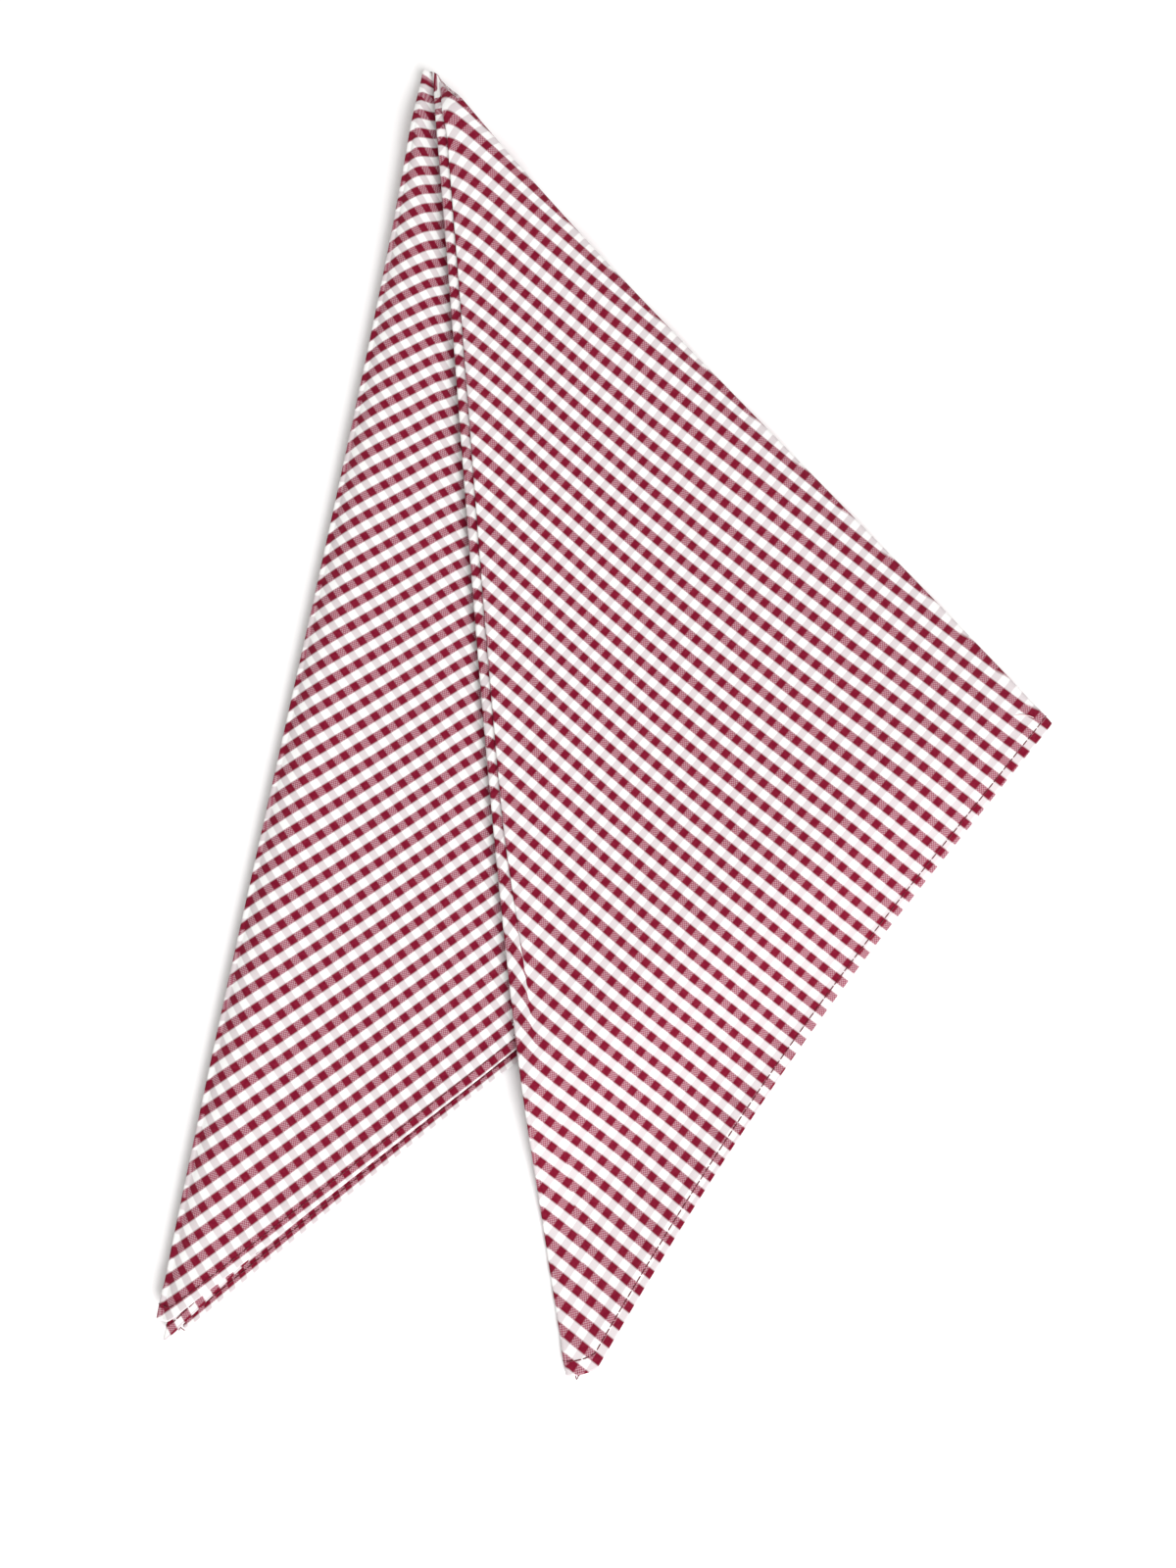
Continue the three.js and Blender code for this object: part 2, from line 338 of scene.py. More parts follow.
@dataclass
class FoldedCloth:
    """The square sheet as it lies: its fold map and its mesh.

    Lengths are in millimetres, and shares of height or length run from 0 to 1.

    Attributes:
        side: The side of the flat sheet.
        cloth: The thickness of the part's solid sheet.
        weave: The thickness of the real cloth.
        hem: The thickness of the turned hem.
        hem_width: The width of the turned hem.
        hem_soft: How far past that width the step of the hem reaches.
        pitch: How far apart the layers lie.
        tip_y: Where the first fold starts on the plan.
        tip_slope: How far the folds' starts move along Y for each millimetre along X.
        edge_cover: How far past its edge a layer still lifts what lies on it.
        drop_left: Over how far the layers above a left fold sink beyond it.
        drop_right: Over how far they sink beyond a right fold.
        drop_hem: Over how far they sink beyond a hem.
        middle: The plan point that becomes the middle of the part.
        rings: The rings between the tip and the hem.
        bend_steps: The steps round the bend of a fold.
        bend_most: The most of a layer's width that one bend takes.
        crowding: How much closer the columns lie beside the folds.
        shoulder: How far in from the outer folds the stack rounds off.
        shoulder_tip: The same at the tip.
        shoulder_grows: How far from the tip it has its full size.
        shoulder_starts: Over how far from the tip the rounding sets in.
        shoulder_left: The share of its height that the stack keeps at its left edge.
        shoulder_right: The share that it keeps at its right edge.
        step_shoulder: How far in from the long fold the right panel rounds off.
        step_left: The share of its height above the left panel that it keeps there.
        dip: The share of its height that the left panel loses at the foot of that step.
        dip_foot: How far out from the long fold the foot lies.
        dip_reach: How far out from the foot the dip reaches.
        dip_under: How far the whole dip reaches in under the right panel.
        dip_fade: Over how far it fades out from there.
        step_spread: The share of the layer below the step that takes up the pleat's cloth.
        corner_spread: How far along the hem a corner is turned in, for each unit of its blunt.
        corner_power: How hollow that line is.
        corner_from: The ring where a corner begins to be turned in.
        corner_run: How far out from that ring it is turned in fully.
        apex_height: The height of the gathered tip.
        apex_reach: How far past the first ring the tip ends.
        apex_aside: How far to the right of the first ring it ends.
        apex_rise: How far above the first ring it ends.
        gathered: The share of its height that the stack keeps at the tip.
        gather_length: The share of a fold's length over which it is gathered.
        slope_step: How far apart the rings lie that give the slope of a face.
        pleat: The step beside the right panel's long fold.
        troughs: The soft creases over the stack.
    """

    side: float = 558.8
    cloth: float = 1.0
    weave: float = 0.42
    hem: float = 0.95
    hem_width: float = 6.4
    hem_soft: float = 0.5
    pitch: float = 1.6
    tip_y: float = 398.3
    tip_slope: float = -0.75
    edge_cover: float = 1.0
    drop_left: float = 30.0
    drop_right: float = 45.0
    drop_hem: float = 52.0
    middle: tuple[float, float] = (-0.196, 202.477)
    rings: int = 96
    bend_steps: int = 10
    bend_most: float = 0.36
    crowding: float = 0.8
    shoulder: float = 12.0
    shoulder_tip: float = 1.5
    shoulder_grows: float = 90.0
    shoulder_starts: float = 30.0
    shoulder_left: float = 0.34
    shoulder_right: float = 0.6
    step_shoulder: float = 3.4
    step_left: float = 0.45
    dip: float = 0.32
    dip_foot: float = 0.5
    dip_reach: float = 7.0
    dip_under: float = 4.0
    dip_fade: float = 12.0
    step_spread: float = 0.5
    corner_spread: float = 1.5
    corner_power: float = 1.2
    corner_from: float = 0.8
    corner_run: float = 0.2
    apex_height: float = 4.2
    apex_reach: float = 1.2
    apex_aside: float = -0.8
    apex_rise: float = 0.6
    gathered: float = 0.42
    gather_length: float = 0.05
    slope_step: float = 0.004
    pleat: Pleat = field(default_factory=Pleat)
    troughs: tuple[Trough, ...] = TROUGHS

    def flat_length(self, fold: Fold) -> float:
        """Returns the length of a fold in the flat sheet, from its middle to its rim."""
        angle = math.radians(fold.angle)
        return self.side / 2 / max(abs(math.cos(angle)), abs(math.sin(angle)))

    def axis(self, k: int) -> tuple[np.ndarray, np.ndarray, np.ndarray, float]:
        """Returns the start, direction, left normal and length of fold k on the plan."""
        fold = FOLDS[k % len(FOLDS)]
        start = np.array([fold.tip_x, self.tip_y + self.tip_slope * (fold.tip_x - FOLDS[0].tip_x)])
        heading = math.radians(fold.heading)
        along = np.array([math.cos(heading), math.sin(heading)])
        return start, along, np.array([-along[1], along[0]]), fold.reach * self.flat_length(fold)

    def fold_point(self, k: int, t: np.ndarray) -> np.ndarray:
        """Returns the plan points of fold k at shares t of its length."""
        fold = FOLDS[k % len(FOLDS)]
        start, along, left, length = self.axis(k)
        off = bulge(t, fold.bow, fold.skew)
        return start + t[..., None] * length * along + off[..., None] * left

    def left_of(self, k: int, points: np.ndarray) -> np.ndarray:
        """Returns how far plan points lie to the left of fold k."""
        fold = FOLDS[k % len(FOLDS)]
        start, along, left, length = self.axis(k)
        out = points - start
        return out @ left - bulge(np.clip(out @ along / length, 0, 1), fold.bow, fold.skew)

    def hem_line(self, k: int) -> tuple[np.ndarray, np.ndarray, np.ndarray, float]:
        """Returns the start, direction, way to the tip and length of the hem of layer k."""
        tip, along, _, length = self.axis(k)
        start = tip + along * length
        tip_2, along_2, _, length_2 = self.axis(k + 1)
        line = tip_2 + along_2 * length_2 - start
        length = float(np.hypot(*line))
        line = line / length
        inward = np.array([-line[1], line[0]])
        return start, line, inward if inward @ (tip - start) > 0 else -inward, length

    def inside_hem(self, k: int, points: np.ndarray) -> np.ndarray:
        """Returns how far plan points lie inside the hem of layer k."""
        start, line, inward, length = self.hem_line(k)
        out = points - start
        return out @ inward - bulge(np.clip(out @ line / length, 0, 1), LAYERS[k].pull, 0)

    def cover(self, k: int, points: np.ndarray) -> np.ndarray:
        """Returns the share of its thickness that layer k adds under plan points."""
        left, right = (k + 1, k) if k % 2 == 0 else (k, k + 1)
        return (
            self.held_up(self.left_of(left, points), self.drop_left)
            * self.held_up(-self.left_of(right, points), self.drop_right)
            * self.held_up(self.inside_hem(k, points), self.drop_hem)
        )

    def held_up(self, inside: np.ndarray, drop: float) -> np.ndarray:
        """Returns how far cloth is held up by a layer, from 1 inside its edge to 0 a drop beyond it."""
        return smooth(1 + (inside + self.edge_cover) / drop)

    def height(self, k: int, points: np.ndarray) -> np.ndarray:
        """Returns the height of the middle of layer k at plan points."""
        z = np.full(points.shape[:-1], self.cloth / 2)
        for below in range(len(LAYERS) - 1, k, -1):
            z = z + self.pitch * self.cover(below, points)
        if k in (TOP_LAYER, STEP_LAYER):
            under = self.cover(STEP_LAYER, points) * (k == TOP_LAYER)
            floor = z - self.pitch * under - self.pitch * self.cover(LEFT_LAYER, points)
            out = np.clip(1 - self.left_of(LONG_FOLD, points) / self.step_shoulder, 0, 1)
            z = floor + (z - floor) * (1 - (1 - self.step_left) * rounded(out))
        else:
            z = z * (1 - self.dip * self.beside_step(points))
        lift = self.unevenness(points) * (len(LAYERS) - k) / len(LAYERS)
        base = self.weave / 2
        return base + (z + lift - base) * self.shoulders(points)

    def beside_step(self, points: np.ndarray) -> np.ndarray:
        """Returns how far the left panel sinks at plan points, which is most along the step's foot."""
        inside = self.left_of(LONG_FOLD, points)
        out = smooth(1 + (inside + self.dip_foot) / self.dip_reach)
        return out * (1 - smooth((inside - self.dip_under) / self.dip_fade))

    def shoulders(self, points: np.ndarray) -> np.ndarray:
        """Returns the share of its height that the stack keeps where its outer folds round off."""
        from_tip = np.linalg.norm(points - self.axis(LEFT_FOLD)[0], axis=-1)
        radius = mix(self.shoulder_tip, self.shoulder, smooth(from_tip / self.shoulder_grows))
        begun = smooth(from_tip / self.shoulder_starts)
        kept = np.ones_like(from_tip)
        for inside, low in (
            (self.left_of(LEFT_FOLD, points), self.shoulder_left),
            (-self.left_of(WRAP_FOLD, points), self.shoulder_right),
        ):
            out = np.clip(1 - inside / radius, 0, 1)
            kept = kept * (1 - (1 - low) * rounded(out) * begun)
        return kept

    def unevenness(self, points: np.ndarray) -> np.ndarray:
        """Returns how far the soft creases lift the top of the stack at plan points."""
        lift = np.zeros(points.shape[:-1])
        place = points - np.array(self.middle)
        for trough in self.troughs:
            start, end = np.array(trough.start), np.array(trough.end)
            line = end - start
            share = np.clip((place - start) @ line / (line @ line), 0, 1)
            away = np.linalg.norm(place - start - share[..., None] * line, axis=-1)
            half_width = trough.width / 2
            lift -= trough.depth * np.exp(-((away / half_width) ** 2) * math.log(2))
        return lift

    def counts(self, k: int, t: np.ndarray, s: np.ndarray) -> np.ndarray:
        """Returns the gingham's counts in layer k at ring t, a share s from fold k to fold k + 1."""
        even = mix(self.even_counts(k, t), self.even_counts(k + 1, t), s[..., None])
        if k in DRIFTS:
            return even + DRIFTS[k].at(t, s)
        found = even + mix(self.fold_drift(k, t), self.fold_drift(k + 1, t), s[..., None])
        if k != STEP_LAYER:
            return found
        spread = self.even_counts(LONG_FOLD, t) + self.fold_drift(LONG_FOLD, t)
        at_pleat = self.fold_counts(LONG_FOLD, t) - spread
        return found + at_pleat * (1 - smooth(s[..., None] / self.step_spread))

    def even_counts(self, k: int, t: np.ndarray) -> np.ndarray:
        """Returns the gingham's counts along fold k at shares t of its length, evenly spread."""
        fold = FOLDS[k % len(FOLDS)]
        return mix(np.array(fold.tip_count), np.array(fold.hem_count), t[..., None])

    def fold_drift(self, k: int, t: np.ndarray) -> np.ndarray:
        """Returns how far the counts along fold k run from an even spread."""
        for layer, drift in DRIFTS.items():
            if k % len(FOLDS) in (layer, layer + 1):
                return drift.at(t, np.full_like(t, k % len(FOLDS) - layer))
        return np.zeros(t.shape + (2,))

    def layer_points(self, k: int, t: np.ndarray, s: np.ndarray) -> np.ndarray:
        """Returns the middle of layer k at ring t, a share s of the way from fold k to fold k + 1."""
        plan = mix(self.fold_point(k, t), self.fold_point(k + 1, t), s[..., None])
        inward = self.hem_line(k)[2]
        plan = plan + (bulge(s, LAYERS[k].pull, 0) * t * t)[..., None] * inward
        z = self.height(k, plan)
        if k == TOP_LAYER:
            inside = self.left_of(LONG_FOLD, plan)
            raised = self.pleat.height * self.pleat.strength(t)
            z = z + raised * (1 - smooth(inside / self.pleat.reach))
        return np.concatenate([plan, z[..., None]], axis=-1)

    def flat_span(self, k: int, t: np.ndarray) -> tuple[np.ndarray, np.ndarray]:
        """Returns the shares of layer k at rings t where its two bends begin."""
        one, two = FOLDS[k % len(FOLDS)], FOLDS[(k + 1) % len(FOLDS)]
        first = one.round / np.abs(self.left_of(k, self.fold_point(k + 1, t)))
        last = two.round / np.abs(self.left_of(k + 1, self.fold_point(k, t)))
        return np.minimum(first, self.bend_most), 1 - np.minimum(last, self.bend_most)

    def trimmed(self, k: int, t: np.ndarray, s: np.ndarray) -> np.ndarray:
        """Returns rings of layer k with its two corners of the hem turned in.

        Args:
            k: The layer.
            t: The rings.
            s: The shares of the way from fold k to fold k + 1.
        """
        cut = np.zeros_like(t)
        hem = self.hem_line(k)[3]
        one, two = FOLDS[k % len(FOLDS)], FOLDS[(k + 1) % len(FOLDS)]
        for fold, away in ((one, s * hem), (two, (1 - s) * hem)):
            if fold.blunt > 0:
                near = np.clip(1 - away / (self.corner_spread * fold.blunt), 0, 1)
                cut = cut + fold.blunt / self.flat_length(fold) * near**self.corner_power
        return t * (1 - cut * smooth((t - self.corner_from) / self.corner_run))

    def layer(self, k: int, t: np.ndarray) -> tuple[np.ndarray, np.ndarray]:
        """Returns the points and the gingham's counts of layer k, one row for each ring."""
        first, last = self.flat_span(k, t)
        even = np.linspace(0, 1, LAYERS[k].columns + 1)
        even = even - self.crowding * np.sin(2 * math.pi * even) / (2 * math.pi)
        if k == TOP_LAYER:
            return self.pleated_layer(t, first, even)
        shares = first[:, None] + (last - first)[:, None] * even
        rings = self.trimmed(k, np.repeat(t[:, None], shares.shape[1], axis=1), shares)
        points = self.layer_points(k, rings, shares)
        return points, self.counts(k, rings, self.used_shares(points, shares))

    def used_shares(self, points: np.ndarray, shares: np.ndarray) -> np.ndarray:
        """Returns the shares of a layer measured along its cloth, so slopes take more of it.

        Args:
            points: The points of the layer, ring by ring.
            shares: Their shares from fold to fold on the plan.
        """
        steps = np.diff(points, axis=1)
        plan = np.linalg.norm(steps[..., :2], axis=-1)
        more = np.cumsum(np.linalg.norm(steps, axis=-1) - plan, axis=1)
        more = np.concatenate([np.zeros_like(more[:, :1]), more], axis=1)
        more -= more[:, more.shape[1] // 2][:, None]
        width = plan.sum(axis=1, keepdims=True) / (shares[:, -1:] - shares[:, :1])
        return shares + more / np.maximum(width, TINY)

    def panel_width(self, t: np.ndarray) -> np.ndarray:
        """Returns how wide the right panel is at rings t."""
        return np.abs(self.left_of(LONG_FOLD, self.fold_point(WRAP_FOLD, t)))

    def pleated_layer(
        self, t: np.ndarray, first: np.ndarray, even: np.ndarray
    ) -> tuple[np.ndarray, np.ndarray]:
        """Returns the points and counts of the top layer, with the pleat beside its long fold.

        Args:
            t: The rings.
            first: The share where the bend of the wrap ends, for each ring.
            even: The spread of the panel's columns.
        """
        pleat = self.pleat
        across = self.panel_width(t)
        scale = pleat.scale(across)
        start = 1 - pleat.room * scale / across
        shares = first[:, None] + (start - first)[:, None] * even[:-1]
        rings = np.repeat(t[:, None], shares.shape[1], axis=1)
        panel = self.layer_points(TOP_LAYER, rings, shares)
        panel_counts = self.counts(TOP_LAYER, rings, self.used_shares(panel, shares))
        section = pleat.profile()
        strength = pleat.strength(t)[:, None]
        flat_end = np.minimum(FOLDS[LONG_FOLD].round, pleat.room * scale / 2)[:, None] / scale[:, None]
        spread = np.linspace(0, 1, len(section))
        flat = pleat.room + (flat_end - pleat.room) * spread
        inside = mix(flat, section[:, 0], strength) * scale[:, None]
        used = mix(flat, section[:, 2], strength) * scale[:, None]
        shares_in = 1 - inside / across[:, None]
        rings = self.trimmed(TOP_LAYER, np.repeat(t[:, None], len(section), axis=1), shares_in)
        plan = self.layer_points(TOP_LAYER, rings, shares_in)
        fall = pleat.height * strength * (1 - smooth(inside / pleat.reach)) * (1 - section[:, 1])
        plan[..., 2] -= fall
        pleat_counts = self.counts(TOP_LAYER, rings, 1 - used / across[:, None])
        return (
            np.concatenate([panel, plan], axis=1),
            np.concatenate([panel_counts, pleat_counts], axis=1),
        )

    def rings_of(self, t: np.ndarray) -> tuple[np.ndarray, np.ndarray]:
        """Returns the points and counts of whole rings, once round from the wrap.

        Args:
            t: The rings, from 0 at the tip to 1 at the hem.
        """
        layers = [self.layer(k, t) for k in range(len(LAYERS))]
        points, counts = [], []
        for k, (own, own_counts) in enumerate(layers):
            before, before_counts = layers[k - 1]
            at_fold = self.trimmed(k, t, np.zeros_like(t))
            fold = self.fold_point(k, at_fold)
            turn = np.pi * np.arange(1, self.bend_steps) / self.bend_steps
            share = ((1 - np.cos(turn)) / 2)[None, :, None]
            arc = mix(before[:, -1:], own[:, :1], share)
            reach = np.sin(turn)[None, :, None]
            arc[..., :2] = mix(arc[..., :2], fold[:, None, :], reach)
            points += [arc, own]
            middle = self.fold_counts(k, at_fold)
            half = np.minimum(turn / np.pi * 2, 1)[None, :, None]
            rest = np.maximum(turn / np.pi * 2 - 1, 0)[None, :, None]
            to_fold = mix(before_counts[:, -1:], middle[:, None], half)
            counts += [mix(to_fold, own_counts[:, :1], rest), own_counts]
        points = np.concatenate(points, axis=1)
        return self.gather(points, t), np.concatenate(counts, axis=1)

    def fold_counts(self, k: int, t: np.ndarray) -> np.ndarray:
        """Returns the gingham's counts on fold k at rings t, where the bend is outermost."""
        if k != LONG_FOLD:
            return self.counts(k, t, np.zeros_like(t))
        across = self.panel_width(t)
        distance, _, used = self.pleat.profile()[-1]
        beyond = (used - distance) * self.pleat.strength(t) * self.pleat.scale(across)
        return self.counts(TOP_LAYER, t, 1 - beyond / across)

    def gather(self, points: np.ndarray, t: np.ndarray) -> np.ndarray:
        """Returns rings with their layers drawn together near the gathered tip."""
        share = mix(self.gathered, 1.0, smooth(t / self.gather_length))[:, None]
        points[..., 2] = self.apex_height + (points[..., 2] - self.apex_height) * share
        return points

    def ring_shares(self) -> np.ndarray:
        """Returns the rings, closer together near the tip and in the hem."""
        hem = 1 - np.array(HEM_RINGS) / (self.side / 2)
        between = np.linspace(TIP_RINGS[-1], hem[0] - HEM_GAP, self.rings)
        return np.concatenate([TIP_RINGS[:-1], between, hem])

    def to_row(self, points: np.ndarray) -> np.ndarray:
        """Returns plan points in metres, in the frame of the part."""
        middle = np.array([self.middle[0], self.middle[1], 0.0])
        return (points - middle) * MM

    def surface(self, t: float, side: Side, lift: float) -> tuple[np.ndarray, np.ndarray]:
        """Returns a line round the cloth on one face: its points and its normals.

        Args:
            t: The ring that it follows.
            side: The face that it lies on.
            lift: How far it lies from the middle of the cloth.
        """
        beyond = min(t + self.slope_step, 1.0)
        near, _ = self.rings_of(np.array([t - self.slope_step, t, beyond]))
        along = np.roll(near[1], -1, axis=0) - np.roll(near[1], 1, axis=0)
        down = near[2] - near[0]
        normal = np.cross(along, down)
        normal /= np.linalg.norm(normal, axis=1, keepdims=True)
        return near[1] + normal * side.value * lift, normal * side.value

    def build(self, name: str) -> bpy.types.Object:
        """Returns the cloth as a mesh object, with its thickness and its counts as a UV map.

        Args:
            name: The name of the object.
        """
        t = self.ring_shares()
        points, counts = self.rings_of(t)
        n_rings, n_columns = points.shape[:2]
        x, y = points[0, :, :2].mean(axis=0)
        rise = self.apex_height + self.apex_rise
        apex = np.array([x + self.apex_aside, y + self.apex_reach, rise])
        vertices = np.vstack([self.to_row(points.reshape(-1, 3)), self.to_row(apex[None])])
        apex_index = len(vertices) - 1
        faces, corners = [], []
        flat_counts = counts.reshape(-1, 2)
        for i in range(n_columns):
            j = (i + 1) % n_columns
            faces.append((apex_index, i, j))
            corners += [TRUE_TIP, flat_counts[i], flat_counts[j]]
            for ring in range(n_rings - 1):
                a, b = ring * n_columns, (ring + 1) * n_columns
                face = (a + i, b + i, b + j, a + j)
                faces.append(face)
                corners += [flat_counts[v] for v in face]
        mesh = bpy.data.meshes.new(name)
        mesh.from_pydata(vertices.tolist(), [], faces)
        uv = mesh.uv_layers.new(name="Weave")
        uv.data.foreach_set("uv", np.array(corners, dtype=np.float32).ravel())
        shade_smooth(mesh)
        cloth = placed(name, mesh)
        self.thicken(cloth, t, n_columns)
        return cloth

    def thicken(self, cloth: bpy.types.Object, t: np.ndarray, n_columns: int) -> None:
        """Gives the cloth its thickness, and more of it in the turned hem.

        Args:
            cloth: The sheet without thickness.
            t: Its rings.
            n_columns: Its columns.
        """
        group = cloth.vertex_groups.new(name="hem")
        from_edge = (1 - t) * self.side / 2
        weights = smooth(self.hem_width + self.hem_soft - from_edge)
        for ring, weight in enumerate(weights):
            if weight > 0:
                own = range(ring * n_columns, (ring + 1) * n_columns)
                group.add(list(own), float(weight), "REPLACE")
        solid = cloth.modifiers.new("thickness", "SOLIDIFY")
        solid.thickness = self.hem * MM
        solid.offset = 0.0
        solid.vertex_group = group.name
        solid.thickness_vertex_group = self.weave / self.hem
        bpy.ops.object.select_all(action="DESELECT")
        bpy.context.view_layer.objects.active = cloth
        cloth.select_set(True)
        bpy.ops.object.modifier_apply(modifier=solid.name)
        cloth.select_set(False)


# Places along a stitch, its radius there in half threads, and how deep it dives in threads.
STITCH_PLACES = np.array([0, 0.08, 0.3, 0.7, 0.92, 1])
STITCH_RADII = np.array([0.35, 0.85, 1.0, 1.0, 0.85, 0.35])
STITCH_SINKS = np.array([0.75, 0.25, 0, 0, 0.25, 0.75])


@dataclass
class HemStitching:
    """The lockstitch line that holds the turned hem.

    Attributes:
        inset: How far in from the edge it runs.
        length: The length of one stitch.
        gap: The gap between two stitches.
        thread: The diameter of the thread.
        proud: How far its middle lies out of the hem, in diameters.
        sides: The sides of the thread's section.
    """

    inset: float = 2.85
    length: float = 2.35
    gap: float = 0.12
    thread: float = 0.34
    proud: float = 0.2
    sides: int = 6

    def build(self, cloth: FoldedCloth, side: Side, name: str) -> bpy.types.Object:
        """Returns the stitches on one face of the cloth as a mesh object.

        Args:
            cloth: The folded cloth that carries them.
            side: The face that they lie on.
            name: The name of the object.
        """
        t = 1 - self.inset / (cloth.side / 2)
        line, normals = cloth.surface(t, side, cloth.hem / 2 + self.thread * self.proud)
        closed = np.vstack([line, line[:1]])
        closed_normals = np.vstack([normals, normals[:1]])
        steps = np.linalg.norm(np.diff(closed, axis=0), axis=1)
        run = np.concatenate([[0], np.cumsum(steps)])
        stitches = int(run[-1] / (self.length + self.gap))
        pitch = run[-1] / stitches
        sink = -self.thread * STITCH_SINKS
        vertices, faces = [], []
        for i in range(stitches):
            places = i * pitch + self.gap / 2 + (pitch - self.gap) * STITCH_PLACES
            centre = self.points_at(places, run, closed)
            up = self.points_at(places, run, closed_normals)
            self.add_stitch(centre + up * sink[:, None], up, vertices, faces)
        mesh = bpy.data.meshes.new(name)
        mesh.from_pydata(cloth.to_row(np.array(vertices)).tolist(), [], faces)
        shade_smooth(mesh)
        return placed(name, mesh)

    def points_at(self, places: np.ndarray, run: np.ndarray, line: np.ndarray) -> np.ndarray:
        """Returns the points of a line at distances along it, where run is each point's own."""
        return np.column_stack([np.interp(places, run, line[:, axis]) for axis in range(3)])

    def add_stitch(self, centre: np.ndarray, up: np.ndarray, vertices: list, faces: list) -> None:
        """Adds one stitch, a short tube whose ends dive into the cloth.

        Args:
            centre: The points of its middle line.
            up: The way out of the cloth at each of them.
            vertices: The list that takes its vertices.
            faces: The list that takes its faces.
        """
        base = len(vertices)
        along = centre[-1] - centre[0]
        along /= max(np.linalg.norm(along), TINY)
        for point, out, radius in zip(centre, up, self.thread / 2 * STITCH_RADII):
            out = out / max(np.linalg.norm(out), TINY)
            across = np.cross(along, out)
            for j in range(self.sides):
                turn = 2 * math.pi * j / self.sides
                vertices.append(point + radius * (math.cos(turn) * across + math.sin(turn) * out))
        for ring in range(len(centre) - 1):
            for j in range(self.sides):
                a, b = base + ring * self.sides, base + (ring + 1) * self.sides
                k = (j + 1) % self.sides
                faces.append((a + j, a + k, b + k, b + j))
        faces.append(tuple(base + j for j in reversed(range(self.sides))))
        end = base + (len(centre) - 1) * self.sides
        faces.append(tuple(end + j for j in range(self.sides)))


@dataclass(frozen=True)
class Tail:
    """One loose thread.

    Attributes:
        offset: Where it leaves the cloth: along X and Y from the corner, and above the floor.
        heading: The way it leaves, in degrees from +X.
        length: Its length.
        curl: How far it turns on its way, in degrees.
        rise: How far it arches above its start.
    """

    offset: tuple[float, float, float]
    heading: float
    length: float
    curl: float
    rise: float


RIGHT_TAILS = (
    Tail((2.6, 2.4, 1.9), -105, 3.6, 40, 0.3),
    Tail((3.0, 2.2, 1.9), -70, 3.2, -50, 0.4),
    Tail((2.8, 2.6, 2.0), -88, 2.8, 30, 0.5),
)
LEFT_TAILS = (
    Tail((5.4, 3.6, 3.0), -75, 4.6, 40, 0.6),
    Tail((5.9, 3.8, 3.0), -55, 4.2, -70, 0.8),
    Tail((6.3, 4.1, 3.2), -35, 4.4, 80, 0.8),
    Tail((5.0, 3.4, 3.0), -95, 4.0, -50, 0.6),
    Tail((6.8, 4.4, 3.2), -15, 3.6, 60, 0.7),
)
WRAP_YARN = (Tail((-6.0, 1.5, 5.0), 160, 11.0, 70, 0.8),)


@dataclass
class ThreadTails:
    """Loose ends of sewing thread and frayed yarn, in small bundles at the corners of the hem.

    Attributes:
        diameter: The diameter of a thread.
        points: The steps along a thread.
    """

    diameter: float = 0.30
    points: int = 9

    def thread(self, corner: np.ndarray, tail: Tail) -> bpy.types.Object:
        """Returns one loose thread as a curve object.

        Args:
            corner: The plan point that it is measured from.
            tail: The thread's own values.
        """
        curve = bpy.data.curves.new("tail", "CURVE")
        curve.dimensions = "3D"
        curve.bevel_depth = self.diameter / 2 * MM
        curve.bevel_resolution = 1
        curve.use_fill_caps = True
        spline = curve.splines.new("POLY")
        spline.points.add(self.points - 1)
        x, y = corner[0] + tail.offset[0], corner[1] + tail.offset[1]
        middle_x, middle_y = FoldedCloth.middle
        turn = math.radians(tail.heading)
        steps = self.points - 1
        for i, point in enumerate(spline.points):
            z = tail.offset[2] + tail.rise * math.sin(math.pi * i / steps)
            point.co = ((x - middle_x) * MM, (y - middle_y) * MM, z * MM, 1)
            x += math.cos(turn) * tail.length / steps
            y += math.sin(turn) * tail.length / steps
            turn += math.radians(tail.curl) / steps
        return placed("tail", curve)

    def bundle(self, name: str, corner: np.ndarray, tails: Sequence[Tail]) -> bpy.types.Object:
        """Returns several loose threads as one mesh object.

        Args:
            name: The name of the object.
            corner: The plan point that they are measured from.
            tails: The threads.
        """
        threads = [self.thread(corner, tail) for tail in tails]
        bpy.ops.object.select_all(action="DESELECT")
        for thread in threads:
            thread.select_set(True)
        bpy.context.view_layer.objects.active = threads[0]
        bpy.ops.object.convert(target="MESH")
        if len(threads) > 1:
            bpy.ops.object.join()
        joined = bpy.context.view_layer.objects.active
        joined.name = name
        joined.data.name = name
        shade_smooth(joined.data)
        joined.select_set(False)
        return joined


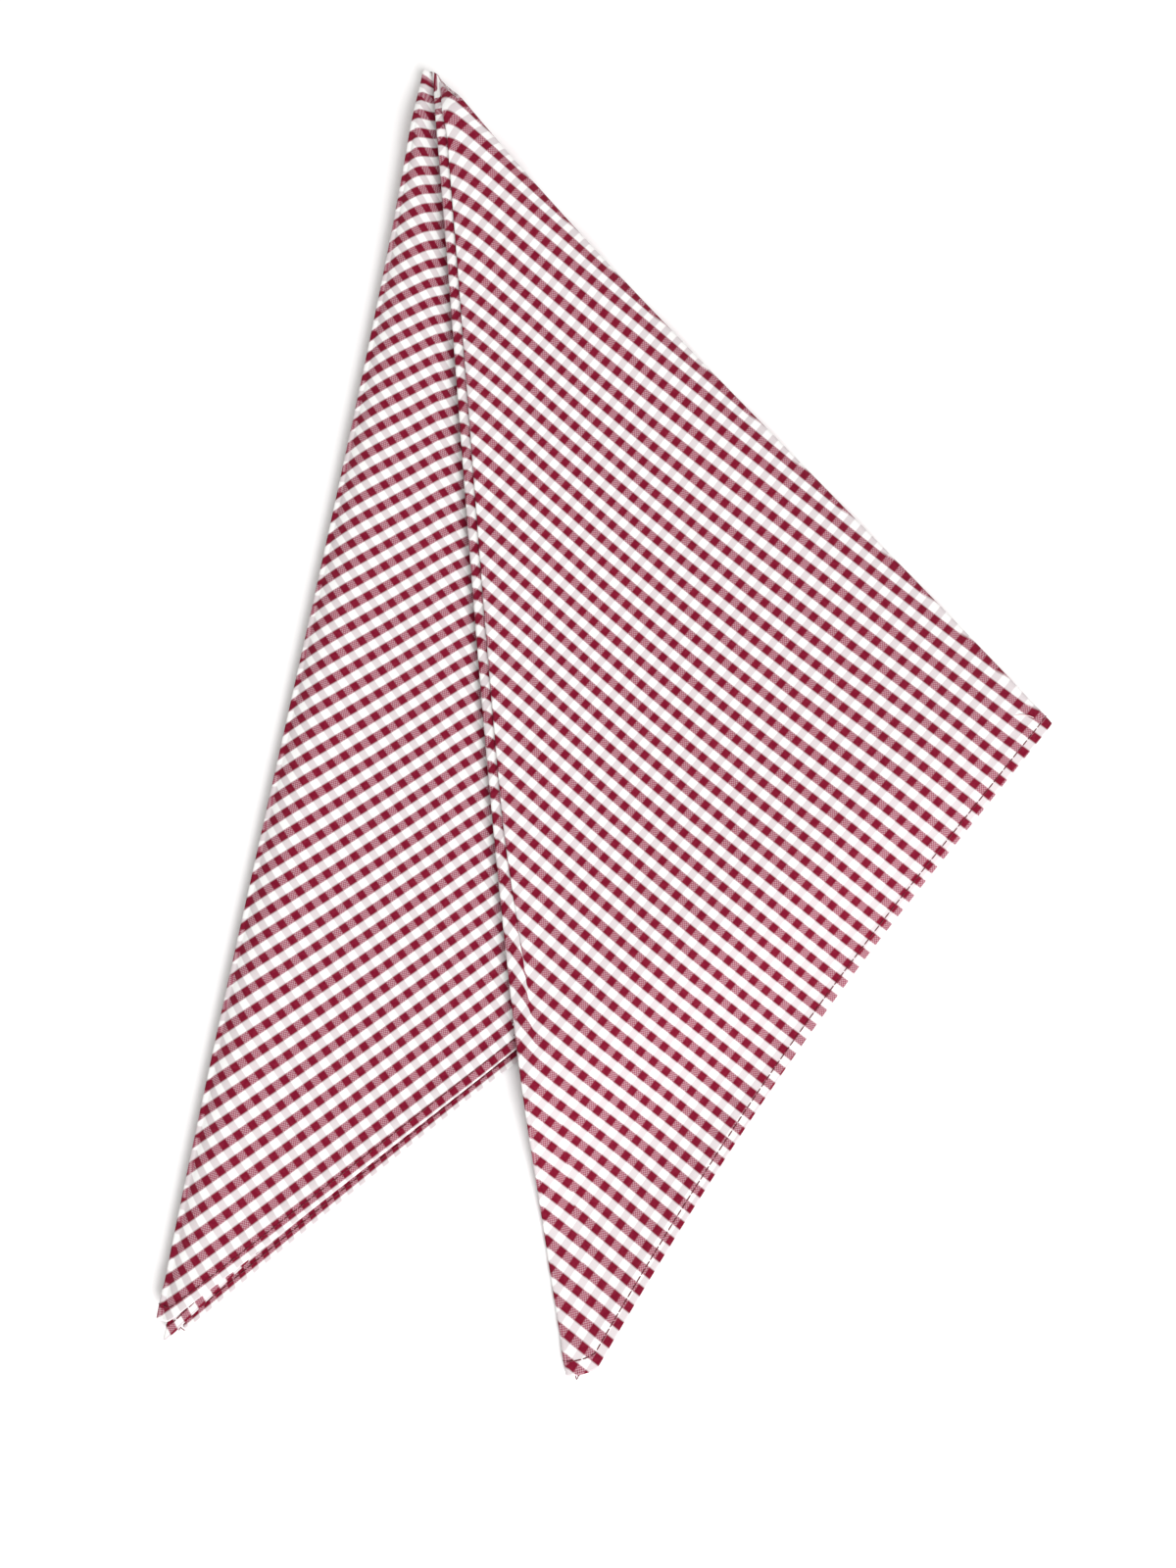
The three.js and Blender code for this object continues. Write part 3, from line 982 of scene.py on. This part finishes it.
class Socket:
    """One socket of a shader. Maths on it adds Math nodes to its material."""

    def __init__(self, finish: "Finish", socket: bpy.types.NodeSocket) -> None:
        """Keeps the socket and the finish that it belongs to."""
        self.finish = finish
        self.socket = socket

    def math(self, operation: str, *values: Any, clamp: bool = False) -> "Socket":
        """Returns the result of a Math node with this socket as its first value.

        Args:
            operation: The node's operation.
            values: Its other values.
            clamp: Whether its result is kept between 0 and 1.
        """
        inputs = dict(enumerate((self, *values)))
        return self.finish.add("ShaderNodeMath", {"operation": operation, "use_clamp": clamp}, inputs)[0]

    def __add__(self, other: Any) -> "Socket":
        """Returns the sum."""
        return self.math("ADD", other)

    __radd__ = __add__

    def __sub__(self, other: Any) -> "Socket":
        """Returns the difference."""
        return self.math("SUBTRACT", other)

    def __rsub__(self, other: float) -> "Socket":
        """Returns a number less this socket."""
        return self.finish.number(other).math("SUBTRACT", self)

    def __mul__(self, other: Any) -> "Socket":
        """Returns the product."""
        return self.math("MULTIPLY", other)

    __rmul__ = __mul__

    def clamped(self) -> "Socket":
        """Returns this socket kept between 0 and 1."""
        return self.math("ADD", 0.0, clamp=True)


class Finish:
    """A procedural material under construction."""

    def __init__(self, name: str) -> None:
        """Makes an empty material with a Principled shader.

        Args:
            name: The name of the material.
        """
        self.material = bpy.data.materials.new(name)
        self.material.use_nodes = True
        self.tree = self.material.node_tree
        self.tree.nodes.clear()
        output = self.tree.nodes.new("ShaderNodeOutputMaterial")
        self.shader = self.tree.nodes.new("ShaderNodeBsdfPrincipled")
        self.tree.links.new(self.shader.outputs[0], output.inputs["Surface"])

    def add(
        self, kind: str, settings: dict[str, Any] | None = None, inputs: dict | None = None
    ) -> list[Socket]:
        """Adds a node and returns its outputs.

        Args:
            kind: The node's type.
            settings: Its settings, which are set first.
            inputs: The value or the link of each of its sockets, by name or number.
        """
        node = self.tree.nodes.new(kind)
        for key, value in (settings or {}).items():
            setattr(node, key, value)
        for key, value in (inputs or {}).items():
            if isinstance(value, Socket):
                self.tree.links.new(value.socket, node.inputs[key])
            else:
                node.inputs[key].default_value = value
        return [Socket(self, out) for out in node.outputs]

    def number(self, value: float) -> Socket:
        """Returns a socket that holds a number."""
        node = self.tree.nodes.new("ShaderNodeValue")
        node.outputs[0].default_value = value
        return Socket(self, node.outputs[0])

    def mixed(self, share: Any, one: Any, two: Any) -> Socket:
        """Returns a colour that lies a share of the way from one to two."""
        settings = {"data_type": "RGBA", "blend_type": "MIX"}
        return self.add("ShaderNodeMix", settings, {0: share, 6: one, 7: two})[2]

    def object_place(self) -> Socket:
        """Returns the place on the piece, in Object coordinates."""
        return self.add("ShaderNodeTexCoord")[3]

    def noise(self, place: Socket, scale: float, detail: float) -> Socket:
        """Returns a noise of about 0.3 to 0.7 over a piece."""
        inputs = {"Vector": place, "Scale": scale, "Detail": detail}
        return self.add("ShaderNodeTexNoise", None, inputs)[0]

    def bump(self, strength: float, depth: float, height: Socket) -> None:
        """Gives the shader a relief.

        Args:
            strength: How strongly it shows.
            depth: Its depth in metres.
            height: Its height, from 0 to 1.
        """
        inputs = {"Strength": strength, "Distance": depth, "Height": height}
        self.feed("Normal", self.add("ShaderNodeBump", None, inputs)[0])

    def feed(self, name: str, value: Any) -> None:
        """Links or sets an input of the shader."""
        if isinstance(value, Socket):
            self.tree.links.new(value.socket, self.shader.inputs[name])
        else:
            self.shader.inputs[name].default_value = value


def linear_part(part: int) -> float:
    """Returns one sRGB part of 0 to 255 as a linear value."""
    value = part / 255
    return value / 12.92 if value <= 0.04045 else ((value + 0.055) / 1.055) ** 2.4


def linear(red: int, green: int, blue: int) -> tuple[float, float, float, float]:
    """Returns a colour of 0 to 255 parts as the linear colour that a shader takes."""
    return linear_part(red), linear_part(green), linear_part(blue), 1.0


@dataclass(frozen=True)
class Mottle:
    """A noise that shifts the colour of the dark stripes.

    Attributes:
        scale: The scale of the noise.
        detail: Its detail.
        floor: The value of the noise from which it shows.
        strength: How strongly it shows.
        colour: The colour that it brings in.
    """

    scale: float
    detail: float
    floor: float
    strength: float
    colour: tuple[int, int, int]


@dataclass(frozen=True)
class GinghamCotton:
    """Yarn-dyed plain weave: dark stripes both ways, solid where they cross.

    Attributes:
        crossing: The colour where two dark stripes cross.
        strong: The colour of the strong stripes between the crossings.
        weak: The colour of the weak stripes between the crossings.
        ground: The colour of the undyed ground.
        edge: How sharp the edge of a stripe is.
        threads: The threads in one stripe and its gap.
        yarn_dark: How much darker a strong yarn is where it lies on top.
        yarn_light: How much lighter its stripe is where it dives.
        slub: The unevenness of the single threads.
        tint: The unevenness of the dye.
        roughness: The roughness of the cloth.
        sheen: The strength of its sheen.
        sheen_roughness: The roughness of its sheen.
        specular: The level of its reflections.
        relief: The depth of the weave in metres.
        relief_strength: How strongly it shows.
        slub_relief: The height of a slub, in depths of the weave.
        crown: The height of a crossing whose strong thread dives, as a share of the other.
    """

    crossing: tuple[int, int, int] = (116, 6, 38)
    strong: tuple[int, int, int] = (158, 86, 106)
    weak: tuple[int, int, int] = (213, 204, 207)
    ground: tuple[int, int, int] = (244, 243, 243)
    edge: float = 1.9
    threads: int = 12
    yarn_dark: float = 0.34
    yarn_light: float = 0.24
    slub: Mottle = Mottle(900.0, 3.0, 0.42, 0.55, (176, 60, 84))
    tint: Mottle = Mottle(45.0, 2.0, 0.4, 0.25, (150, 18, 40))
    roughness: float = 0.86
    sheen: float = 0.03
    sheen_roughness: float = 0.5
    specular: float = 0.12
    relief: float = 0.00007
    relief_strength: float = 0.55
    slub_relief: float = 0.5
    crown: float = 0.65

    def material(self) -> bpy.types.Material:
        """Returns the material, which reads the counts in the cloth's own UV map."""
        finish = Finish("gingham cotton")
        uv = finish.add("ShaderNodeUVMap", {"uv_map": "Weave"})[0]
        across, along = finish.add("ShaderNodeSeparateXYZ", None, {0: uv})[:2]
        across_dark = self.stripe(across)
        along_dark = self.stripe(along)
        light = finish.mixed(along_dark, linear(*self.ground), linear(*self.weak))
        dark = finish.mixed(along_dark, linear(*self.strong), linear(*self.crossing))
        colour = finish.mixed(across_dark, light, dark)
        over = self.over(across, along)
        blended = across_dark * (1 - along_dark)
        colour = finish.mixed(blended * over * self.yarn_dark, colour, linear(*self.crossing))
        colour = finish.mixed(blended * (1 - over) * self.yarn_light, colour, linear(*self.ground))
        place = finish.object_place()
        noises = [finish.noise(place, each.scale, each.detail) for each in (self.slub, self.tint)]
        for mottle, noise in zip((self.slub, self.tint), noises):
            share = (noise - mottle.floor) * mottle.strength * across_dark
            colour = finish.mixed(share, colour, linear(*mottle.colour))
        finish.feed("Base Color", colour)
        finish.feed("Roughness", self.roughness)
        finish.feed("Sheen Weight", self.sheen)
        finish.feed("Sheen Roughness", self.sheen_roughness)
        finish.feed("Specular IOR Level", self.specular)
        height = self.thread_height(across, along, over) + noises[0] * self.slub_relief
        finish.bump(self.relief_strength, self.relief, height)
        return finish.material

    def stripe(self, count: Socket) -> Socket:
        """Returns where a stripe is dark: its dark half is centred on each whole count."""
        return ((count * (2 * math.pi)).math("COSINE") * self.edge + 0.5).clamped()

    def over(self, across: Socket, along: Socket) -> Socket:
        """Returns 1 where a thread of the strong stripes lies on top, and 0 where it dives."""
        cell = (across * self.threads).math("FLOOR") + (along * self.threads).math("FLOOR")
        return (cell * 0.5).math("FRACT") * 2

    def thread_height(self, across: Socket, along: Socket, over: Socket) -> Socket:
        """Returns the height of the crowns of the threads, from 0 to 1."""
        turn = self.threads * math.pi
        one = (across * turn).math("SINE").math("ABSOLUTE")
        two = (along * turn).math("SINE").math("ABSOLUTE")
        return one * two * (self.crown + over * (1 - self.crown))


@dataclass(frozen=True)
class SewingThread:
    """Twisted sewing thread, or a loose yarn.

    Attributes:
        name: The name of the material.
        colour: Its colour.
        groove_shade: Painted shade between its plies, a darker colour laid into the grooves of the
            twist.
        twist: The scale of its twist.
        distortion: How uneven the twist is.
        roughness: Its roughness.
        relief: The depth of its twist in metres.
        relief_strength: How strongly that shows.
    """

    name: str = "burgundy sewing thread"
    colour: tuple[int, int, int] = (122, 12, 38)
    groove_shade: tuple[int, int, int] = (86, 6, 26)
    twist: float = 1900.0
    distortion: float = 1.5
    roughness: float = 0.6
    relief: float = 0.00005
    relief_strength: float = 0.4

    def material(self) -> bpy.types.Material:
        """Returns the material, with its twist on Object coordinates and painted shade in the grooves
        between the plies.
        """
        finish = Finish(self.name)
        settings = {"wave_type": "BANDS", "bands_direction": "DIAGONAL"}
        inputs = {"Vector": finish.object_place(), "Scale": self.twist, "Distortion": self.distortion}
        plies = finish.add("ShaderNodeTexWave", settings, inputs)[1]
        # The darker colour in the wave's bands is painted shade for the grooves between the plies.
        finish.feed("Base Color", finish.mixed(plies, linear(*self.groove_shade), linear(*self.colour)))
        finish.feed("Roughness", self.roughness)
        finish.bump(self.relief_strength, self.relief, plies)
        return finish.material


@dataclass
class Studio:
    """The pale floor, the soft light and the camera.

    Attributes:
        eye: The place of the camera, in metres.
        tilt: Its turn about X and Y from straight down, in degrees.
        lens: Its focal length over the long side of a 36 mm picture.
        near: How near to it things still show, in metres.
        floor_size: The side of the floor, in metres.
        floor_z: The height of the floor, in metres.
        floor_tones: Its two colours.
        floor_cloud: The scale and the detail of the clouds between them.
        floor_roughness: Its roughness.
        lamp_place: Where the lamp hangs, in metres.
        lamp_size: Its side, in metres.
        lamp_power: Its power in watts.
        sky: The strength of the light from all round.
        sky_colour: The colour of that light.
    """

    eye: tuple[float, float, float] = (-0.0002, -0.0663, 0.3571)
    tilt: tuple[float, float] = (5.73, 1.02)
    lens: float = 27.0
    near: float = 0.01
    floor_size: float = 6.0
    floor_z: float = -0.0002
    floor_tones: tuple[tuple[int, int, int], ...] = ((250, 249, 250), (246, 246, 247))
    floor_cloud: tuple[float, float] = (3.0, 3.0)
    floor_roughness: float = 0.9
    lamp_place: tuple[float, float, float] = (1.1, -2.0, 2.1)
    lamp_size: float = 1.4
    lamp_power: float = 98.0
    sky: float = 0.62
    sky_colour: tuple[float, float, float, float] = (1.0, 0.985, 0.955, 1.0)

    def build(self) -> None:
        """Makes the floor, the light and the camera."""
        bpy.context.scene.view_settings.view_transform = "Standard"
        self.floor()
        self.lamp()
        self.world()
        self.camera()

    def floor(self) -> None:
        """Makes the floor, a wide sheet that is slightly uneven in tone."""
        bpy.ops.mesh.primitive_plane_add(size=self.floor_size, location=(0, 0, self.floor_z))
        floor = bpy.context.view_layer.objects.active
        floor.name = "floor"
        bpy.ops.object.transform_apply(location=True, rotation=True, scale=True)
        floor.select_set(False)
        finish = Finish("pale floor")
        cloud = finish.noise(finish.object_place(), *self.floor_cloud)
        light, dark = self.floor_tones
        finish.feed("Base Color", finish.mixed(cloud, linear(*light), linear(*dark)))
        finish.feed("Roughness", self.floor_roughness)
        floor.data.materials.append(finish.material)

    def lamp(self) -> None:
        """Adds a square area light that points at the middle of the floor."""
        data = bpy.data.lights.new("window", "AREA")
        data.shape = "SQUARE"
        data.size = self.lamp_size
        data.energy = self.lamp_power
        lamp = placed("window", data)
        lamp.location = self.lamp_place
        lamp.rotation_euler = (-Vector(self.lamp_place)).to_track_quat("-Z", "Y").to_euler()

    def world(self) -> None:
        """Lights the scene from all round with a plain, slightly warm sky."""
        world = bpy.data.worlds.new("soft sky")
        world.use_nodes = True
        background = world.node_tree.nodes["Background"]
        background.inputs["Color"].default_value = self.sky_colour
        background.inputs["Strength"].default_value = self.sky
        bpy.context.scene.world = world

    def camera(self) -> None:
        """Places the camera as the photograph was taken: from above, a little from the front."""
        data = bpy.data.cameras.new("camera")
        data.sensor_fit = "VERTICAL"
        data.sensor_height = 36.0
        data.sensor_width = 27.0
        data.lens = self.lens
        data.clip_start = self.near
        camera = placed("camera", data)
        about_x, about_y = (math.radians(angle) for angle in self.tilt)
        turn = Matrix.Rotation(about_x, 4, "X") @ Matrix.Rotation(about_y, 4, "Y")
        camera.matrix_world = Matrix.Translation(self.eye) @ turn
        bpy.context.scene.camera = camera


@dataclass
class Bandana:
    """The whole folded bandana.

    Attributes:
        cloth: Its cloth.
        stitching: The stitches of its hem.
        tails: Its loose threads.
    """

    cloth: FoldedCloth = field(default_factory=FoldedCloth)
    stitching: HemStitching = field(default_factory=HemStitching)
    tails: ThreadTails = field(default_factory=ThreadTails)

    def build(self) -> list[bpy.types.Object]:
        """Builds and dresses every piece, and returns them."""
        gingham = GinghamCotton().material()
        thread = SewingThread().material()
        # The third colour is painted shade for the grooves between the yarn's plies.
        pale = SewingThread("pale yarn", (236, 214, 214), (214, 180, 184)).material()
        sheet = self.cloth.build("bandana_cloth")
        sheet.data.materials.append(gingham)
        face = self.stitching.build(self.cloth, Side.OUTER, "hem_stitches")
        face.data.materials.append(thread)
        back = self.stitching.build(self.cloth, Side.INNER, "hem_stitches_inside")
        back.data.materials.append(thread)
        ends = self.loose_ends()
        for piece, finish in zip(ends, (thread, thread, pale)):
            piece.data.materials.clear()
            piece.data.materials.append(finish)
        pieces = [sheet, face, back, *ends]
        for piece in pieces:
            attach(piece, BODY)
            LOG.info("%s: %d faces", piece.name, len(piece.data.polygons))
        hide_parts(NODE)
        return pieces

    def loose_ends(self) -> list[bpy.types.Object]:
        """Returns the loose threads at the three corners of the folded hem."""
        hem = np.array([1.0])
        cut = FOLDS[LONG_FOLD].blunt / self.cloth.flat_length(FOLDS[LONG_FOLD])
        right = self.cloth.fold_point(LONG_FOLD, hem - cut)[0]
        left = self.cloth.fold_point(LEFT_FOLD, hem)[0]
        wrap = self.cloth.fold_point(WRAP_FOLD, hem)[0]
        return [
            self.tails.bundle("corner_thread_right", right, RIGHT_TAILS),
            self.tails.bundle("corner_thread_left", left, LEFT_TAILS),
            self.tails.bundle("loose_yarn", wrap, WRAP_YARN),
        ]


def main() -> None:
    """Builds the bandana and its studio."""
    logging.basicConfig(level=logging.INFO, format="%(name)s %(message)s")
    bpy.ops.object.select_all(action="DESELECT")
    Studio().build()
    Bandana().build()


if __name__ == "__main__":
    main()
